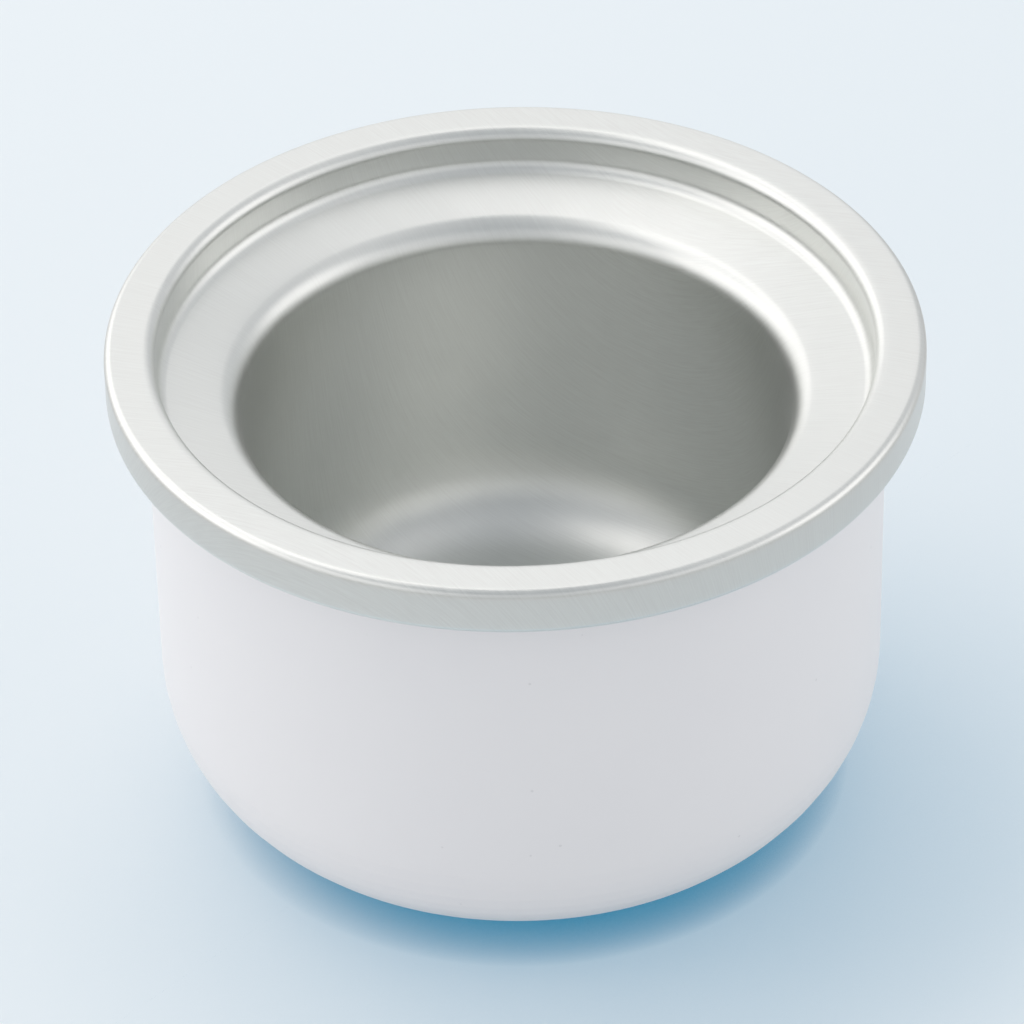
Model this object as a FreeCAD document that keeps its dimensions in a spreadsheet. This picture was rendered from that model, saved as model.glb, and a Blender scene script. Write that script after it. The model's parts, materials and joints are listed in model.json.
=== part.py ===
import FreeCAD, Part
import collections
import math
import os
import Sketcher

# Freezer bowl of a small ice cream maker: a drawn aluminium pot hangs in a drawn aluminium shell, and the
# sealed space between them holds the liquid that is frozen beforehand. The pot's rim is folded down over
# the shell's flange and hemmed in under it, with a gasket in the seam. A sealed rivet closes the fill hole.
# Every piece is a turned form. Origin at the centre of the standing plane, +Z up along the bowl's axis.

# Driving sizes in millimetres, and slopes in degrees: name, value, what it measures.
SIZES = (
    ("total_height", 104.7, "standing plane to the top of the rim"),
    ("rim_radius", 80.0, "axis to the outside of the rim"),
    ("rim_width", 9.9, "outside of the rim to the step wall"),
    ("rim_band_height", 10.0, "top of the rim to the underside of the hem"),
    ("rim_edge_bend", 0.45, "inside bend of the rim's two outer edges"),
    ("rim_roll_bend", 1.3, "inside bend from the step wall to the rim's top"),
    ("hem_width", 4.8, "reach of the hem in from the outside of the rim"),
    ("ledge_depth", 8.7, "top of the rim down to the ledge, at the step wall"),
    ("ledge_slope", 14.8, "fall of the ledge towards the mouth"),
    ("ledge_width", 15.75, "step wall to the pot's wall, at the ledge"),
    ("step_fillet", 2.8, "fillet between the ledge and the step wall"),
    ("mouth_bend", 4.3, "inside bend from the pot's wall to the ledge"),
    ("pot_draft", 1.9, "lean of the pot's wall"),
    ("underfloor", 15.0, "inside of the shell's base up to the underside of the pot"),
    ("pot_corner", 18.0, "fillet between the pot's floor and its wall"),
    ("liner_wall", 1.2, "sheet of the inner pot"),
    ("shell_wall", 1.0, "sheet of the outer shell"),
    ("nest_gap", 0.15, "play between the step wall and the shell's mouth"),
    ("flange_bend", 1.0, "bend under the shell's flange"),
    ("skirt_bend", 0.6, "bend inside the shell's skirt"),
    ("skirt_gap", 0.1, "play between the skirt and the hem's bend"),
    ("base_bend", 30.0, "inside bend of the shell's bottom corner"),
    ("ring_width", 7.0, "width of the standing ring"),
    ("ring_bend", 1.0, "inside bend of the standing ring"),
    ("recess_depth", 4.0, "standing plane up to the recessed panel"),
    ("recess_fillet", 0.6, "fillet inside the recess"),
    ("seal_thickness", 1.2, "gasket between the flange and the rim"),
    ("seal_margin", 0.2, "gasket's edges in from the bends beside it"),
    ("film_gap", 0.3, "coolant to the metal round it"),
    ("headspace", 12.0, "ledge at the step wall down to the coolant's level"),
    ("rivet_radius", 3.2, "shank of the fill rivet"),
    ("rivet_hole_gap", 0.1, "play between the shank and its holes"),
    ("rivet_head_radius", 6.4, "head of the fill rivet"),
    ("rivet_head_height", 1.4, "thickness of the rivet's head"),
    ("rivet_head_round", 0.9, "rounded edge of the rivet's head"),
    ("rivet_bulb_radius", 4.6, "set end of the rivet, inside the shell"),
    ("rivet_bulb_height", 5.5, "length of the set end"),
    ("rivet_bulb_round", 1.8, "rounded end of the rivet"),
    ("rivet_cap", 1.2, "closed end over the mandrel's head"),
    ("washer_thickness", 1.0, "sealing washer under the rivet's head"),
    ("washer_reach", 0.7, "washer beyond the rivet's head"),
    ("mandrel_radius", 1.4, "broken stem left in the rivet"),
    ("mandrel_head_radius", 2.3, "mandrel's head in the closed end"),
    ("mandrel_head_height", 2.2, "length of the mandrel's head"),
    ("mandrel_gap", 0.05, "play round the mandrel"),
    ("mandrel_inset", 0.4, "stem's break in from the rivet's face"),
)

doc = FreeCAD.newDocument("freezer_bowl")
sheet = doc.addObject("Spreadsheet::Sheet", "sizes")


class Size:
    """A length or angle together with the sheet's formula for it, so that one sum gives both."""

    def __init__(self, value, formula):
        self.value = value
        self.formula = formula

    def __add__(self, other):
        return Size(self.value + other.value, f"({self.formula} + {other.formula})")

    def __sub__(self, other):
        return Size(self.value - other.value, f"({self.formula} - {other.formula})")

    def across(self, tilt):
        """This thickness of a tilted wall, measured level or plumb."""
        lean = math.cos(math.radians(tilt.value))
        return Size(self.value / lean, f"({self.formula} / cos({tilt.formula}))")


def fill_sheet():
    """Write the driving sizes into the sheet and return them by name."""
    sizes = {}
    for row, (name, value, meaning) in enumerate(SIZES, start=1):
        sheet.set(f"A{row}", meaning)
        sheet.set(f"B{row}", str(value))
        sheet.setAlias(f"B{row}", name)
        sizes[name] = Size(value, f"sizes.{name}")
    doc.recompute()
    return collections.namedtuple("Sizes", sizes)(**sizes)


size = fill_sheet()
ZERO = Size(0.0, "0")
RIGHT_ANGLE = Size(90.0, "90")

# Levels above the standing plane, and radii, that several pieces share.
rim_top = size.total_height
rim_under = rim_top - size.liner_wall
hem_under = rim_top - size.rim_band_height
hem_top = hem_under + size.liner_wall
ledge = rim_top - size.ledge_depth
flange_top = rim_under - size.seal_thickness
panel_top = size.recess_depth + size.shell_wall
pot_floor = panel_top + size.underfloor + size.liner_wall

step_radius = size.rim_radius - size.rim_width
mouth_radius = step_radius - size.ledge_width
nest_radius = step_radius + size.liner_wall + size.nest_gap
shell_radius = nest_radius + size.shell_wall
skirt_radius = size.rim_radius - size.liner_wall - size.rim_edge_bend - size.skirt_gap
recess_radius = nest_radius - size.base_bend - size.ring_width

rivet_seat = size.recess_depth - size.washer_thickness
rivet_face = rivet_seat - size.rivet_head_height
rivet_end = panel_top + size.rivet_bulb_height
rivet_hole = size.rivet_radius + size.rivet_hole_gap
mandrel_top = rivet_end - size.rivet_cap
mandrel_neck = mandrel_top - size.mandrel_head_height


class Run(collections.namedtuple("Run", "kind place through tilt", defaults=(None, None))):
    """A straight stretch of an outline. Its place is a height if it is flat or sloping, and a radius if it is
    upright or leaning. A tilted stretch has that place where it passes through a given radius or height."""

    def moved(self, distance, outward):
        """The same stretch moved square to itself: up or away from the axis, or the other way."""
        step = distance.across(self.tilt) if self.tilt else distance
        return self._replace(place=self.place + step if outward else self.place - step)

    def line(self):
        """A point on the stretch and its direction."""
        through = self.through.value if self.through else 0
        lean = math.radians(self.tilt.value) if self.tilt else 0
        if self.kind in ("flat", "sloping"):
            return FreeCAD.Vector(through, self.place.value, 0), FreeCAD.Vector(math.cos(lean), math.sin(lean), 0)
        return FreeCAD.Vector(self.place.value, through, 0), FreeCAD.Vector(math.sin(lean), math.cos(lean), 0)


def flat(height):
    return Run("flat", height)


def upright(radius):
    return Run("upright", radius)


def sloping(height, radius, slope):
    return Run("sloping", height, radius, slope)


def leaning(radius, height, draft):
    return Run("leaning", radius, height, draft)


def crossing(first, second):
    """Where two straight stretches would meet in a sharp corner."""
    point, along = first.line()
    other, across = second.line()
    turn = along.x * across.y - along.y * across.x
    gap = other - point
    return point + along * ((gap.x * across.y - gap.y * across.x) / turn)


class Corner:
    """A corner of an outline: the arc, if it has a bend, and the points where the stretches end."""

    def __init__(self, point, before, after, bend):
        self.bend = bend
        self.arrive = self.leave = point
        if bend is None:
            return
        back = (before - point).normalize()
        ahead = (after - point).normalize()
        half = back.getAngle(ahead) / 2
        reach = bend.value / math.tan(half)
        self.arrive = point + back * reach
        self.leave = point + ahead * reach
        self.centre = point + (back + ahead).normalize() * (bend.value / math.sin(half))
        self.left_turn = back.x * ahead.y - back.y * ahead.x < 0

    def arc(self):
        """The bend as an arc, which always runs anticlockwise."""
        first, last = (self.arrive, self.leave) if self.left_turn else (self.leave, self.arrive)
        angles = [math.atan2(end.y - self.centre.y, end.x - self.centre.x) for end in (first, last)]
        circle = Part.Circle(self.centre, FreeCAD.Vector(0, 0, 1), self.bend.value)
        return Part.ArcOfCircle(circle, *angles)


class Outline:
    """A closed outline in a sketch, made of straight stretches and bends that follow the sheet."""

    # How a sketch numbers a stretch's two ends and its own axes; the level axis starts at the origin.
    START, END = range(1, 3)
    LEVEL_AXIS, TURNING_AXIS = range(-1, -3, -1)

    def __init__(self, sketch, runs, bends):
        self.sketch = sketch
        points = [crossing(runs[i - 1], runs[i]) for i in range(len(runs))]
        following = points[1:] + points[:1]
        corners = [Corner(points[i], points[i - 1], following[i], bends[i - 1]) for i in range(len(runs))]
        lines = [self.straight(run, corners[i].leave, corners[(i + 1) % len(runs)].arrive)
                 for i, run in enumerate(runs)]
        for i, corner in enumerate(corners):
            self.join(lines[i - 1], corner, lines[i])

    def fix(self, *constraint):
        return self.sketch.addConstraint(Sketcher.Constraint(*constraint))

    def bind(self, value, *constraint):
        """Add a constraint whose value the sheet gives."""
        number = math.radians(value.value) if constraint[0] == "Angle" else value.value
        index = self.fix(*constraint, number)
        self.sketch.setExpression(f"Constraints[{index}]", value.formula)

    def straight(self, run, first, last):
        """Draw one stretch and hold it in its place; return it with its first and last ends."""
        reversed_run = run.tilt is not None and last.y < first.y
        line = self.sketch.addGeometry(Part.LineSegment(*((last, first) if reversed_run else (first, last))))
        if run.tilt:
            self.tilt(line, run)
        elif run.kind == "flat":
            self.fix("Horizontal", line)
            self.place(run.place, "DistanceY", line, self.LEVEL_AXIS)
        else:
            self.fix("Vertical", line)
            self.place(run.place, "DistanceX", line, self.TURNING_AXIS)
        return (line, self.END, self.START) if reversed_run else (line, self.START, self.END)

    def place(self, value, kind, line, axis):
        """Hold a level or plumb stretch at its height or radius."""
        if value is ZERO:
            self.fix("PointOnObject", line, self.START, axis)
        else:
            self.bind(value, kind, self.LEVEL_AXIS, self.START, line, self.START)

    def tilt(self, line, run):
        """Hold a tilted stretch, drawn uphill, by its angle and by one point that it passes through."""
        point = self.sketch.addGeometry(Part.Point(run.line()[0]), True)
        if run.kind == "sloping":
            radius, height, angle = run.through, run.place, run.tilt
        else:
            radius, height, angle = run.place, run.through, RIGHT_ANGLE - run.tilt
        self.bind(radius, "DistanceX", self.LEVEL_AXIS, self.START, point, self.START)
        self.bind(height, "DistanceY", self.LEVEL_AXIS, self.START, point, self.START)
        self.fix("PointOnObject", point, self.START, line)
        self.bind(angle, "Angle", line)

    def join(self, before, corner, after):
        """Join two stretches, sharply or by a bend that is tangent to both."""
        if corner.bend is None:
            self.fix("Coincident", before[0], before[2], after[0], after[1])
            return
        arc = self.sketch.addGeometry(corner.arc())
        first, last = (self.START, self.END) if corner.left_turn else (self.END, self.START)
        self.fix("Tangent", before[0], before[2], arc, first)
        self.fix("Tangent", arc, last, after[0], after[1])
        self.bind(corner.bend, "Radius", arc)


def turned_piece(name, runs, bends):
    """A body turned about the bowl's axis; bends[i] lies between runs[i] and the next, None where sharp."""
    body = doc.addObject("PartDesign::Body", name)
    body.Label = name
    body.Placement = FreeCAD.Placement()
    sketch = body.newObject("Sketcher::SketchObject", f"{name}_outline")
    planes = {feature.Role: feature for feature in body.Origin.OriginFeatures}
    sketch.AttachmentSupport = [(planes["XZ_Plane"], "")]
    sketch.MapMode = "FlatFace"
    Outline(sketch, runs, bends)
    turn = body.newObject("PartDesign::Revolution", f"{name}_turn")
    turn.Profile = sketch
    turn.ReferenceAxis = (sketch, ["V_Axis"])
    turn.Angle = 360
    body.Tip = turn
    return body


def drawn_sheet(name, wall, stretches, bends, first_edge, last_edge):
    """A piece of even sheet. Each stretch is its face side and whether the sheet lies outward of it; each bend
    is its inside radius and whether that inside is on the face side."""
    face = [run for run, outward in stretches]
    back = [run.moved(wall, outward) for run, outward in stretches]
    face_bends = [inside if on_face else inside + wall for inside, on_face in bends]
    back_bends = [inside + wall if on_face else inside for inside, on_face in bends]
    runs = face + [last_edge] + back[::-1] + [first_edge]
    sharp = [None, None]
    return turned_piece(name, runs, face_bends + sharp + back_bends[::-1] + sharp)


def inner_pot():
    """The pot that takes the mix, with its ledge, its step and the rim that is hemmed over the shell."""
    stretches = (
        (flat(pot_floor), False),
        (leaning(mouth_radius, ledge, size.pot_draft), True),
        (sloping(ledge, step_radius, size.ledge_slope), False),
        (upright(step_radius), True),
        (flat(rim_top), False),
        (upright(size.rim_radius), False),
        (flat(hem_under), True),
    )
    bends = (
        (size.pot_corner, True),
        (size.mouth_bend, False),
        (size.step_fillet, True),
        (size.rim_roll_bend, False),
        (size.rim_edge_bend, False),
        (size.rim_edge_bend, False),
    )
    hem_edge = upright(size.rim_radius - size.hem_width)
    return drawn_sheet("inner_pot", size.liner_wall, stretches, bends, upright(ZERO), hem_edge)


def outer_shell():
    """The white shell: recessed panel with the fill hole, standing ring, wall, flange and turned-down skirt."""
    stretches = (
        (flat(size.recess_depth), True),
        (upright(recess_radius), True),
        (flat(ZERO), True),
        (upright(shell_radius), False),
        (flat(flange_top - size.shell_wall), True),
        (upright(skirt_radius - size.shell_wall), True),
    )
    bends = (
        (size.recess_fillet, True),
        (size.ring_bend, False),
        (size.base_bend, False),
        (size.flange_bend, True),
        (size.skirt_bend, True),
    )
    return drawn_sheet("outer_shell", size.shell_wall, stretches, bends, upright(rivet_hole), flat(hem_top))


def rim_seal():
    """The flat gasket squeezed between the shell's flange and the rim."""
    inner = nest_radius + size.rim_roll_bend + size.seal_margin
    outer = skirt_radius - size.skirt_bend - size.shell_wall - size.seal_margin
    runs = (upright(inner), flat(flange_top), upright(outer), flat(rim_under))
    return turned_piece("rim_seal", runs, (None,) * len(runs))


def coolant_charge():
    """The liquid round the pot, up to the air space that its freezing needs."""
    gap = size.film_gap
    pot_wall = leaning(mouth_radius, ledge, size.pot_draft).moved(size.liner_wall + gap, True)
    runs_and_bends = (
        (upright(ZERO), None),
        (flat(pot_floor - size.liner_wall - gap), size.pot_corner + size.liner_wall + gap),
        (pot_wall, None),
        (flat(ledge - size.headspace), None),
        (upright(nest_radius - gap), size.base_bend - gap),
        (flat(size.shell_wall + gap), size.ring_bend - gap),
        (upright(recess_radius + size.shell_wall + gap), size.recess_fillet + size.shell_wall + gap),
        (flat(panel_top + gap), None),
        (upright(size.rivet_bulb_radius + gap), None),
        (flat(rivet_end + gap), None),
    )
    return turned_piece("coolant_charge", *zip(*runs_and_bends))


def fill_rivet_body():
    """The closed rivet: head under the washer, shank through the panel, set end and the mandrel's bore."""
    runs_and_bends = (
        (flat(rivet_face), size.rivet_head_round),
        (upright(size.rivet_head_radius), None),
        (flat(rivet_seat), None),
        (upright(size.rivet_radius), None),
        (flat(panel_top), None),
        (upright(size.rivet_bulb_radius), size.rivet_bulb_round),
        (flat(rivet_end), None),
        (upright(ZERO), None),
        (flat(mandrel_top), None),
        (upright(size.mandrel_head_radius + size.mandrel_gap), None),
        (flat(mandrel_neck), None),
        (upright(size.mandrel_radius + size.mandrel_gap), None),
    )
    return turned_piece("fill_rivet_body", *zip(*runs_and_bends))


def fill_rivet_mandrel():
    """What the setting leaves of the mandrel: its head and the broken stem."""
    runs_and_bends = (
        (upright(ZERO), None),
        (flat(rivet_face + size.mandrel_inset), None),
        (upright(size.mandrel_radius), None),
        (flat(mandrel_neck), None),
        (upright(size.mandrel_head_radius), None),
        (flat(mandrel_top), None),
    )
    return turned_piece("fill_rivet_mandrel", *zip(*runs_and_bends))


def fill_rivet_washer():
    """The rubber washer that seals the fill hole."""
    runs = (upright(rivet_hole), flat(rivet_seat),
            upright(size.rivet_head_radius + size.washer_reach), flat(size.recess_depth))
    return turned_piece("fill_rivet_washer", runs, (None,) * len(runs))


def check(pieces):
    """Stop if any object failed or any piece is not one sound solid."""
    for item in doc.Objects:
        if {"Invalid", "Error"} & set(item.State):
            raise RuntimeError(f"{item.Label}: {item.State}")
    for piece in pieces:
        shape = piece.Shape
        if shape.isNull() or not shape.isValid() or len(shape.Solids) != 1:
            raise RuntimeError(f"{piece.Label}: not one sound solid")


def main():
    pieces = [inner_pot(), outer_shell(), rim_seal(), coolant_charge(),
              fill_rivet_body(), fill_rivet_mandrel(), fill_rivet_washer()]
    doc.recompute()
    check(pieces)
    os.makedirs("parts", exist_ok=True)
    for piece in pieces:
        piece.Shape.exportStep(os.path.join("parts", f"{piece.Label}.step"))
        box = piece.Shape.BoundBox
        print(f"{piece.Label}: {piece.Shape.Volume / 1000:.2f} cm3, z {box.ZMin:.2f} to {box.ZMax:.2f}, "
              f"radius {box.XMax:.2f}")


main()
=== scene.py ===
import json
import math

import bmesh
import bpy
from mathutils import Euler, Matrix, Vector


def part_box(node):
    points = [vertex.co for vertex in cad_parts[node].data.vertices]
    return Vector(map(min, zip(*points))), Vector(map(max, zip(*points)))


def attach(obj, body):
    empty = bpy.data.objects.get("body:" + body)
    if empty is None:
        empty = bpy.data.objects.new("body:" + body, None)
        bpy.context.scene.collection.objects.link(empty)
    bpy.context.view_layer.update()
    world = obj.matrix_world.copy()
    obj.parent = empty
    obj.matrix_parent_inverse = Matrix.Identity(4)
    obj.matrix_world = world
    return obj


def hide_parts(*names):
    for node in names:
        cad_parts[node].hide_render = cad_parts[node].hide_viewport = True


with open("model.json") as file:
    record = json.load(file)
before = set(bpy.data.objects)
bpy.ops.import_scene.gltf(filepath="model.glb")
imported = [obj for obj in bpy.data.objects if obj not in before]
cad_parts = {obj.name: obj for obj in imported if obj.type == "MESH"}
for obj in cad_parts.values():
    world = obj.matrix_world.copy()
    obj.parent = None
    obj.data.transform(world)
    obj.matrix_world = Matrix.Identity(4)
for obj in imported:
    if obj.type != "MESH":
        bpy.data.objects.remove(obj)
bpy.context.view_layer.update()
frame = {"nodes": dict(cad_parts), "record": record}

# Freezer bowl of an ice cream maker, in metres. The pot and the shell are sheets turned about the bowl's
# axis, so each is spun here from its section, with enough facets for its metal to shine evenly. The gasket,
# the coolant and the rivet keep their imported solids.
MM = 0.001

# Sizes that the frame gives.
mounts = {mount["name"]: mount for mount in frame["record"]["mounts"]}
pot_low, pot_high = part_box("inner_pot")
shell_low, shell_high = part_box("outer_shell")
rim_radius = pot_high.x
rim_top = pot_high.z
step_radius = mounts["lid_recess"]["dims"]["r_mm"] * MM
hem_under = mounts["rim_seat"]["pos_m"][2]

# Sizes of the drawn sheets that it doesn't give. A bend is the radius of the side that shows.
LINER_WALL = 1.2 * MM
SHELL_WALL = 1.0 * MM
LEDGE_DEPTH = 8.7 * MM
LEDGE_WIDTH = 15.75 * MM
LEDGE_SLOPE = math.radians(14.8)
POT_DRAFT = math.radians(1.9)
HEM_WIDTH = 4.8 * MM
POT_CORNER = 18.0 * MM
MOUTH_ROLL = 5.5 * MM
STEP_FILLET = 2.8 * MM
RIM_ROLL = 2.5 * MM
RIM_EDGE = 1.65 * MM
NEST_GAP = 0.15 * MM
RECESS_DEPTH = 4.0 * MM
RECESS_FILLET = 0.6 * MM
RING_WIDTH = 7.0 * MM
RING_EDGE = 2.0 * MM
BASE_CORNER = 31.0 * MM
FLANGE_BEND = 1.0 * MM
SKIRT_BEND = 0.6 * MM
FILL_HOLE = 3.3 * MM
CUT_EDGE = 0.15 * MM

FACETS_AROUND = 192
FACETS_PER_BEND = 14
LONG_RUN = 3.0 * MM
CUTS_PER_RUN = 5
SHARP = math.radians(60)


def linear(hex_colour):
    """An sRGB hex colour as the linear colour that a socket takes."""
    shares = [int(hex_colour[i:i + 2], 16) / 255 for i in (1, 3, 5)]
    return [s / 12.92 if s <= 0.04045 else ((s + 0.055) / 1.055) ** 2.4 for s in shares] + [1.0]


def add_node(tree, kind, settings=(), links=()):
    """Add a node. Settings are its properties and its inputs' values; links join inputs to other nodes."""
    node = tree.nodes.new(kind)
    for name, value in dict(settings).items():
        if isinstance(name, int) or name in node.inputs:
            node.inputs[name].default_value = value
        else:
            setattr(node, name, value)
    for name, output in dict(links).items():
        tree.links.new(output, node.inputs[name])
    return node


def new_material(name):
    """An empty material and its tree."""
    material = bpy.data.materials.new(name)
    material.use_nodes = True
    material.node_tree.nodes.clear()
    return material, material.node_tree


def brushed_aluminium():
    """Aluminium sheet that was brushed one way with a fine abrasive and then drawn: satin, so it gives the room
    back blurred. The lines ran straight over the flat blank, and the drawing bent and stretched them."""
    material, tree = new_material("brushed_aluminium")
    brushing = math.radians(-33)
    line_length, line_width = 7 * MM, 0.45 * MM   # what shows of lines that are really near 0.1 mm wide
    hair_length, hair_width = 14 * MM, 0.2 * MM
    cloud_size = 9 * MM
    blank = add_node(tree, "ShaderNodeAttribute", {"attribute_name": "blank"}).outputs["Vector"]
    place = add_node(tree, "ShaderNodeTexCoord").outputs["Object"]
    along = add_node(tree, "ShaderNodeMapping", {"vector_type": "TEXTURE", "Rotation": (0, 0, brushing),
                                                 "Scale": (line_length, line_width, 1)}, {"Vector": blank})
    lines = add_node(tree, "ShaderNodeTexNoise", {"noise_dimensions": "2D", "Scale": 1.0, "Detail": 2.0},
                     {"Vector": along.outputs[0]})
    finer = add_node(tree, "ShaderNodeMapping", {"vector_type": "TEXTURE", "Rotation": (0, 0, brushing),
                                                 "Scale": (hair_length, hair_width, 1)}, {"Vector": blank})
    hairs = add_node(tree, "ShaderNodeTexNoise", {"noise_dimensions": "2D", "Scale": 1.0, "Detail": 1.0},
                     {"Vector": finer.outputs[0]})
    clouds = add_node(tree, "ShaderNodeTexNoise", {"Scale": 1 / cloud_size, "Detail": 3.0}, {"Vector": place})
    scratches = add_node(tree, "ShaderNodeMath", {"operation": "ADD"},
                         {0: lines.outputs["Fac"], 1: hairs.outputs["Fac"]})
    wear = add_node(tree, "ShaderNodeMath", {"operation": "ADD"},
                    {0: scratches.outputs[0], 1: clouds.outputs["Fac"]})
    roughness = add_node(tree, "ShaderNodeMapRange",
                         {"From Min": 0.9, "From Max": 2.1, "To Min": 0.33, "To Max": 0.43},
                         {"Value": wear.outputs[0]})
    tint = add_node(tree, "ShaderNodeMapRange", {"From Min": 0.5, "From Max": 1.5}, {"Value": scratches.outputs[0]})
    tone = add_node(tree, "ShaderNodeMix",
                    {"data_type": "RGBA", 6: linear("#dedfdc"), 7: linear("#e6e8e5")}, {0: tint.outputs[0]})
    bump = add_node(tree, "ShaderNodeBump", {"Strength": 0.2, "Distance": 0.01 * MM},
                    {"Height": scratches.outputs[0]})
    shader = add_node(tree, "ShaderNodeBsdfPrincipled", {"Metallic": 1.0},
                      {"Base Color": tone.outputs[2], "Roughness": roughness.outputs[0], "Normal": bump.outputs[0]})
    add_node(tree, "ShaderNodeOutputMaterial", (), {"Surface": shader.outputs[0]})
    return material


def white_coating():
    """Baked white coating on aluminium: satin, with the fine peel that a sprayed coat dries to and a few pale
    grey specks."""
    material, tree = new_material("white_coating")
    peel_size = 0.9 * MM
    speck_spacing = 9 * MM
    speck_radius = 0.35 * MM
    patch_size = 40 * MM
    place = add_node(tree, "ShaderNodeTexCoord").outputs["Object"]
    peel = add_node(tree, "ShaderNodeTexNoise", {"Scale": 1 / peel_size, "Detail": 1.0}, {"Vector": place})
    patches = add_node(tree, "ShaderNodeTexNoise", {"Scale": 1 / patch_size, "Detail": 2.0}, {"Vector": place})
    tone = add_node(tree, "ShaderNodeMix",
                    {"data_type": "RGBA", 6: linear("#eeeef0"), 7: linear("#f2f2f3")}, {0: patches.outputs["Fac"]})
    specks = add_node(tree, "ShaderNodeTexVoronoi", {"Scale": 1 / speck_spacing}, {"Vector": place})
    speck = add_node(tree, "ShaderNodeMapRange",
                     {"From Min": 0.6 * speck_radius / speck_spacing, "From Max": speck_radius / speck_spacing,
                      "To Min": 0.35, "To Max": 0.0}, {"Value": specks.outputs["Distance"]})
    coat = add_node(tree, "ShaderNodeMix", {"data_type": "RGBA", 7: linear("#c8c9cb")},
                    {0: speck.outputs[0], 6: tone.outputs[2]})
    roughness = add_node(tree, "ShaderNodeMapRange", {"To Min": 0.36, "To Max": 0.44},
                         {"Value": patches.outputs["Fac"]})
    bump = add_node(tree, "ShaderNodeBump", {"Strength": 0.1, "Distance": 0.03 * MM},
                    {"Height": peel.outputs["Fac"]})
    shader = add_node(tree, "ShaderNodeBsdfPrincipled", {"IOR": 1.5},
                      {"Base Color": coat.outputs[2], "Roughness": roughness.outputs[0], "Normal": bump.outputs[0]})
    add_node(tree, "ShaderNodeOutputMaterial", (), {"Surface": shader.outputs[0]})
    return material


def mottled(name, dark, pale, grain, roughness, metallic=0.0):
    """A plain finish whose tone and gloss vary slightly with its grain."""
    material, tree = new_material(name)
    place = add_node(tree, "ShaderNodeTexCoord").outputs["Object"]
    noise = add_node(tree, "ShaderNodeTexNoise", {"Scale": 1 / grain, "Detail": 3.0}, {"Vector": place})
    tone = add_node(tree, "ShaderNodeMix", {"data_type": "RGBA", 6: linear(dark), 7: linear(pale)},
                    {0: noise.outputs["Fac"]})
    gloss = add_node(tree, "ShaderNodeMapRange", {"To Min": roughness - 0.06, "To Max": roughness + 0.06},
                     {"Value": noise.outputs["Fac"]})
    bump = add_node(tree, "ShaderNodeBump", {"Strength": 0.2, "Distance": 0.05 * grain},
                    {"Height": noise.outputs["Fac"]})
    shader = add_node(tree, "ShaderNodeBsdfPrincipled", {"Metallic": metallic},
                      {"Base Color": tone.outputs[2], "Roughness": gloss.outputs[0], "Normal": bump.outputs[0]})
    add_node(tree, "ShaderNodeOutputMaterial", (), {"Surface": shader.outputs[0]})
    return material


def unroll(vertex, blank_radius):
    """Give each point of a section its radius in the flat disc that the sheet was drawn from, by equal area."""
    disc, edge = vertex.co.x ** 2, None
    while True:
        vertex[blank_radius] = math.sqrt(disc)
        edge = next((other for other in vertex.link_edges if other is not edge), None)
        if edge is None:
            return
        following = edge.other_vert(vertex)
        disc += (vertex.co.x + following.co.x) * edge.calc_length()
        vertex = following


def turned_sheet(name, section, wall, side, material):
    """A sheet turned about the axis. The section's corners are radius, height and bend; the sheet's thickness
    lies on the given side of the skin that they make."""
    skin = bmesh.new()
    blank_radius = skin.verts.layers.float.new("blank_radius")
    blank = skin.verts.layers.float_vector.new("blank")
    corners = [Vector((radius, 0, height)) for radius, height, bend in section]
    vertices = [skin.verts.new(corner) for corner in corners]
    for first, second in zip(vertices, vertices[1:]):
        skin.edges.new((first, second))
    for i, (radius, height, bend) in enumerate(section):
        if bend:
            turn = (corners[i] - corners[i - 1]).angle(corners[i + 1] - corners[i])
            bmesh.ops.bevel(skin, geom=[vertices[i]], offset=bend * math.tan(turn / 2), offset_type="OFFSET",
                            affect="VERTICES", segments=FACETS_PER_BEND, profile=0.5, material=-1)
    runs = [edge for edge in skin.edges if edge.calc_length() > LONG_RUN]
    bmesh.ops.subdivide_edges(skin, edges=runs, cuts=CUTS_PER_RUN)
    unroll(min(skin.verts, key=lambda vertex: (vertex.co - corners[0]).length), blank_radius)
    bmesh.ops.spin(skin, geom=skin.verts[:] + skin.edges[:], cent=(0, 0, 0), axis=(0, 0, 1), dvec=(0, 0, 0),
                   angle=math.tau, steps=FACETS_AROUND, use_merge=True)
    bmesh.ops.remove_doubles(skin, verts=skin.verts, dist=0.001 * MM)
    bmesh.ops.recalc_face_normals(skin, faces=skin.faces)
    for face in skin.faces:
        face.smooth = True
    for vertex in skin.verts:
        vertex[blank] = Vector((vertex.co.x, vertex.co.y, 0)).normalized() * vertex[blank_radius]
    mesh = bpy.data.meshes.new(name)
    skin.to_mesh(mesh)
    skin.free()
    mesh.materials.append(material)
    piece = bpy.data.objects.new(name, mesh)
    bpy.context.scene.collection.objects.link(piece)
    sheet = piece.modifiers.new("sheet", "SOLIDIFY")
    sheet.thickness = wall
    sheet.offset = side
    sheet.use_even_offset = True
    edge = piece.modifiers.new("cut_edge", "BEVEL")
    edge.width = CUT_EDGE
    edge.segments = 2
    edge.limit_method = "ANGLE"
    edge.angle_limit = SHARP
    return piece


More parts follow.
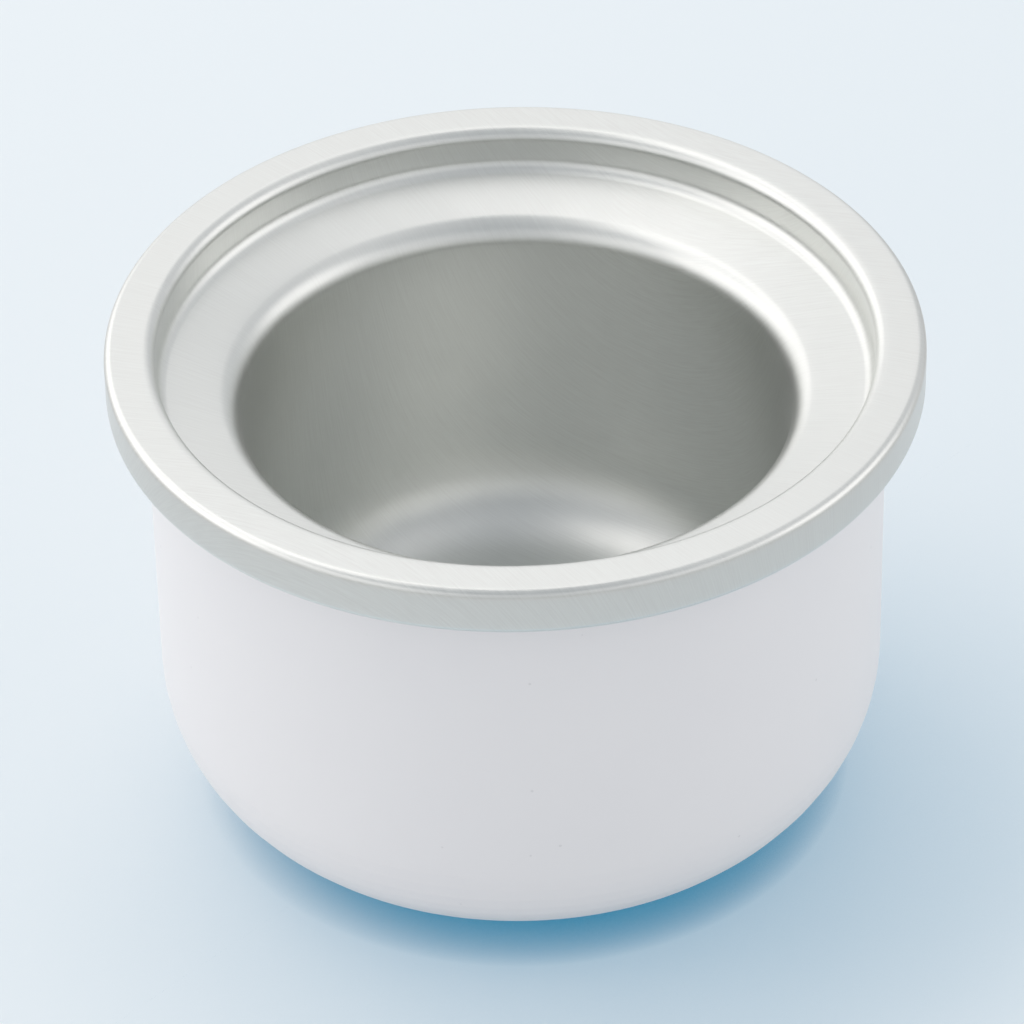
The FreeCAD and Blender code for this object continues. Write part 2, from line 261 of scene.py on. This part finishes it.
def pot_section():
    """Floor, wall, ledge, step, rim, band and hem, from the axis outwards along the side that shows."""
    ledge = rim_top - LEDGE_DEPTH
    floor = pot_low.z + LINER_WALL
    mouth = step_radius - LEDGE_WIDTH
    lean = math.tan(POT_DRAFT)
    fall = math.tan(LEDGE_SLOPE)
    floor_edge = mouth - (ledge - floor) * lean
    mouth_edge = (mouth - step_radius * fall * lean) / (1 - fall * lean)
    return (
        (0, floor, 0),
        (floor_edge, floor, POT_CORNER),
        (mouth_edge, ledge - (step_radius - mouth_edge) * fall, MOUTH_ROLL),
        (step_radius, ledge, STEP_FILLET),
        (step_radius, rim_top, RIM_ROLL),
        (rim_radius, rim_top, RIM_EDGE),
        (rim_radius, hem_under, RIM_EDGE),
        (rim_radius - HEM_WIDTH, hem_under, 0),
    )


def shell_section():
    """Recessed panel, standing ring, wall, flange and skirt, from the fill hole outwards along the outside."""
    wall = step_radius + LINER_WALL + NEST_GAP + SHELL_WALL
    recess = wall - BASE_CORNER - RING_WIDTH
    flange_under = shell_high.z - SHELL_WALL
    skirt = shell_high.x - SHELL_WALL
    return (
        (FILL_HOLE, RECESS_DEPTH, 0),
        (recess, RECESS_DEPTH, RECESS_FILLET),
        (recess, shell_low.z, RING_EDGE),
        (wall, shell_low.z, BASE_CORNER),
        (wall, flange_under, FLANGE_BEND),
        (skirt, flange_under, SKIRT_BEND),
        (skirt, hem_under + LINER_WALL, 0),
    )


def build_bowl():
    """The two sheets, and the finishes of the solids between and under them."""
    behind, ahead = -1, 1
    pot = turned_sheet("pot_sheet", pot_section(), LINER_WALL, behind, brushed_aluminium())
    shell = turned_sheet("shell_sheet", shell_section(), SHELL_WALL, ahead, white_coating())
    for piece, node, slot in ((pot, "inner_pot", "satin_aluminium"), (shell, "outer_shell", "white_coating")):
        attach(piece, "root")
        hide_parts(node)
    # Moulded rubber: matt and nearly black, with a fine grain.
    rubber = mottled("seal_rubber", "#26262a", "#323237", 0.8 * MM, 0.75)
    # Coolant as it looks frozen: a cloudy pale blue.
    coolant = mottled("frozen_coolant", "#a9cbe0", "#c9e0ec", 5 * MM, 0.3)
    # Pressed aluminium: dull silver, with the grain of the press tool.
    aluminium = mottled("rivet_aluminium", "#d3d5d6", "#dfe0e1", 1.2 * MM, 0.38, 1.0)
    # Steel wire where it snapped: darker and rougher than the rivet round it.
    steel = mottled("mandrel_steel", "#a9a9aa", "#bababc", 0.6 * MM, 0.42, 1.0)
    finishes = {
        "rim_seal": rubber,
        "fill_rivet_washer": rubber,
        "coolant_charge": coolant,
        "fill_rivet_body": aluminium,
        "fill_rivet_mandrel": steel,
    }
    for node, finish in finishes.items():
        mesh = frame["nodes"][node].data
        mesh.materials.clear()
        mesh.materials.append(finish)


# A light tent: two rings of soft panels face the bowl from the sides, and the rest of the room is grey. A panel's
# brightness is by its ring's height and its direction, both in degrees, from the bowl's right round by the back;
# 1 is white. The panels are a little warmer than the room.
TENT_MIDDLE = Vector((0, 0, 0.07))
TENT_REACH = 1.6
PANELS_ROUND = 8
LOW_RING, HIGH_RING = 19.5, 57.0
PANEL_HEIGHT = {LOW_RING: 39.0, HIGH_RING: 36.0}
BRIGHTNESS = {
    LOW_RING: {0: 1.05, 45: 0.25, 90: 0.57, 135: 1.05, 180: 1.18, 225: 0.63, 270: 0.23, 315: 0.45},
    HIGH_RING: {0: 0.3, 45: 0.3, 90: 0.77, 135: 1.05, 180: 0.99, 225: 0.17, 315: 0.15},
}
PANEL_COLOUR = "#fffaf7"
ROOM_COLOUR, ROOM_BRIGHTNESS = "#f2f8ff", 0.48


def build_light():
    """The tent's panels, and an even grey room behind them."""
    for elevation, ring in BRIGHTNESS.items():
        share = math.tau / PANELS_ROUND * math.cos(math.radians(elevation))
        width = 2 * TENT_REACH * math.tan(share / 2)
        height = 2 * TENT_REACH * math.tan(math.radians(PANEL_HEIGHT[elevation]) / 2)
        for direction, brightness in ring.items():
            lamp = bpy.data.lights.new(f"panel_{elevation:.0f}_{direction}", "AREA")
            lamp.shape = "RECTANGLE"
            lamp.size = width
            lamp.size_y = height
            lamp.energy = brightness * math.pi * width * height
            lamp.color = linear(PANEL_COLOUR)[:3]
            panel = bpy.data.objects.new(lamp.name, lamp)
            outwards = Vector((1, 0, 0))
            outwards.rotate(Euler((0, -math.radians(elevation), math.radians(direction))))
            panel.location = TENT_MIDDLE + TENT_REACH * outwards
            panel.rotation_euler = (-outwards).to_track_quat("-Z", "Y").to_euler()
            bpy.context.scene.collection.objects.link(panel)
    world = bpy.data.worlds.new("room")
    bpy.context.scene.world = world
    world.use_nodes = True
    tree = world.node_tree
    tree.nodes.clear()
    room = add_node(tree, "ShaderNodeBackground", {"Color": linear(ROOM_COLOUR), "Strength": ROOM_BRIGHTNESS})
    add_node(tree, "ShaderNodeOutputWorld", (), {"Surface": room.outputs[0]})


# The table is blue as far as the first reach from the bowl, or from the line straight behind it, and grey from the
# second: a darker grey, partly a neutral tone and partly a painted shade. Two painted shadows darken its colour, as
# the bowl would shade it from the side that the light comes from: deeply close by, and weakly further off.
FLOOR_SIZE = 12.0
BLUE_REACH, SHADED_GREY_REACH = 120 * MM, 260 * MM
CONTACT_REACH, LEE_REACH = 9 * MM, 60 * MM
LEE_DEEPEST = 0.65
TO_LIGHT = (-0.5, 0.7, 0.5)
SHADE_SAMPLES = 6


def build_floor():
    """A pale table. Its grey part is out of the picture, beside and before the bowl, where the band mirrors it; the
    grey is darker than the blue as a painted shade. To the eye and in reflections, painted shadows darken its colour
    round the bowl, and an even painted blue glow shows wherever it is shaded, so its shadows turn blue; the light
    that it throws is plain."""
    table = bmesh.new()
    bmesh.ops.create_grid(table, x_segments=1, y_segments=1, size=FLOOR_SIZE / 2)
    mesh = bpy.data.meshes.new("table")
    table.to_mesh(mesh)
    table.free()
    material, tree = new_material("pale_table")
    path = add_node(tree, "ShaderNodeLightPath").outputs
    either = add_node(tree, "ShaderNodeMath", {"operation": "MAXIMUM"},
                      {0: path["Is Camera Ray"], 1: path["Is Glossy Ray"]})
    seen = add_node(tree, "ShaderNodeMath", {"operation": "MAXIMUM"},
                    {0: either.outputs[0], 1: path["Is Transmission Ray"]})
    place = add_node(tree, "ShaderNodeTexCoord").outputs["Object"]
    ahead = add_node(tree, "ShaderNodeVectorMath", {"operation": "MINIMUM", 1: (FLOOR_SIZE, 0, 0)}, {0: place})
    reach = add_node(tree, "ShaderNodeVectorMath", {"operation": "LENGTH"}, {0: ahead.outputs[0]})
    # How far the table has turned to its darker grey, a neutral tone with painted shade in it.
    shaded_greyness = add_node(tree, "ShaderNodeMapRange",
                        {"interpolation_type": "SMOOTHSTEP", "From Min": BLUE_REACH, "From Max": SHADED_GREY_REACH},
                        {"Value": reach.outputs["Value"]})
    # Painted shadow: occlusion sought towards the light, close by and further off, darkens the table's colour round
    # the bowl.
    to_light = add_node(tree, "ShaderNodeCombineXYZ", dict(enumerate(TO_LIGHT)))
    painted_contact_shade = add_node(tree, "ShaderNodeAmbientOcclusion", {"samples": SHADE_SAMPLES, "Distance": CONTACT_REACH},
                       {"Normal": to_light.outputs[0]})
    painted_lee_shade = add_node(tree, "ShaderNodeAmbientOcclusion", {"samples": SHADE_SAMPLES, "Distance": LEE_REACH},
                   {"Normal": to_light.outputs[0]})
    lee_share = add_node(tree, "ShaderNodeMapRange", {"To Min": LEE_DEEPEST}, {"Value": painted_lee_shade.outputs["AO"]})
    open_share = add_node(tree, "ShaderNodeMath", {"operation": "MULTIPLY"},
                          {0: painted_contact_shade.outputs["AO"], 1: lee_share.outputs[0]})
    # The table's colour, with the painted shadow multiplied into it.
    tone = add_node(tree, "ShaderNodeMix", {"data_type": "RGBA", 6: linear("#000000"), 7: linear("#ebd9c7")},
                    {0: open_share.outputs[0]})
    lit = add_node(tree, "ShaderNodeBsdfDiffuse", (), {"Color": tone.outputs[2]})
    # A painted glow: an even blue emission, which is all that shows where the table is shaded, so its shade turns
    # blue.
    blue_shade_glow = add_node(tree, "ShaderNodeEmission", {"Color": linear("#007aa0")})
    blue = add_node(tree, "ShaderNodeAddShader", (), {0: lit.outputs[0], 1: blue_shade_glow.outputs[0]})
    # Darker grey, partly a neutral tone and partly a painted shade for the band to mirror.
    shaded_grey = add_node(tree, "ShaderNodeBsdfDiffuse", {"Color": linear("#d9d9d8")})
    look = add_node(tree, "ShaderNodeMixShader", (), {0: shaded_greyness.outputs[0], 1: blue.outputs[0], 2: shaded_grey.outputs[0]})
    plain = add_node(tree, "ShaderNodeBsdfDiffuse", {"Color": linear("#e8e9ea")})
    mix = add_node(tree, "ShaderNodeMixShader", (), {0: seen.outputs[0], 1: plain.outputs[0], 2: look.outputs[0]})
    add_node(tree, "ShaderNodeOutputMaterial", (), {"Surface": mix.outputs[0]})
    mesh.materials.append(material)
    floor = bpy.data.objects.new("table", mesh)
    bpy.context.scene.collection.objects.link(floor)


# The photograph's camera: how far it stands from the middle of the rim, how steeply it looks down, how much
# it leans, and where in the picture the middle of the rim falls.
PICTURE = 1024
CAMERA_DISTANCE = 1.2
CAMERA_TILT = math.radians(38.04)
CAMERA_LEAN = math.radians(-1.2)
FOCAL_PIXELS = 6171.6
RIM_MIDDLE_PIXEL = (514.82, 335.94)
SENSOR = 36.0


def build_camera():
    """The camera, turned to the photograph's view and moved until the rim's middle falls on its pixel."""
    data = bpy.data.cameras.new("camera")
    data.sensor_width = SENSOR
    data.lens = FOCAL_PIXELS / PICTURE * SENSOR
    camera = bpy.data.objects.new("camera", data)
    turn = Matrix.Rotation(math.pi / 2 - CAMERA_TILT, 4, "X") @ Matrix.Rotation(CAMERA_LEAN, 4, "Z")
    across = (RIM_MIDDLE_PIXEL[0] - PICTURE / 2) / FOCAL_PIXELS * CAMERA_DISTANCE
    up = (PICTURE / 2 - RIM_MIDDLE_PIXEL[1]) / FOCAL_PIXELS * CAMERA_DISTANCE
    offset = turn @ Vector((across, up, -CAMERA_DISTANCE))
    camera.matrix_world = Matrix.Translation(Vector((0, 0, rim_top)) - offset) @ turn
    bpy.context.scene.collection.objects.link(camera)
    bpy.context.scene.camera = camera


build_bowl()
build_light()
build_floor()
build_camera()
bpy.context.scene.view_settings.view_transform = "Standard"
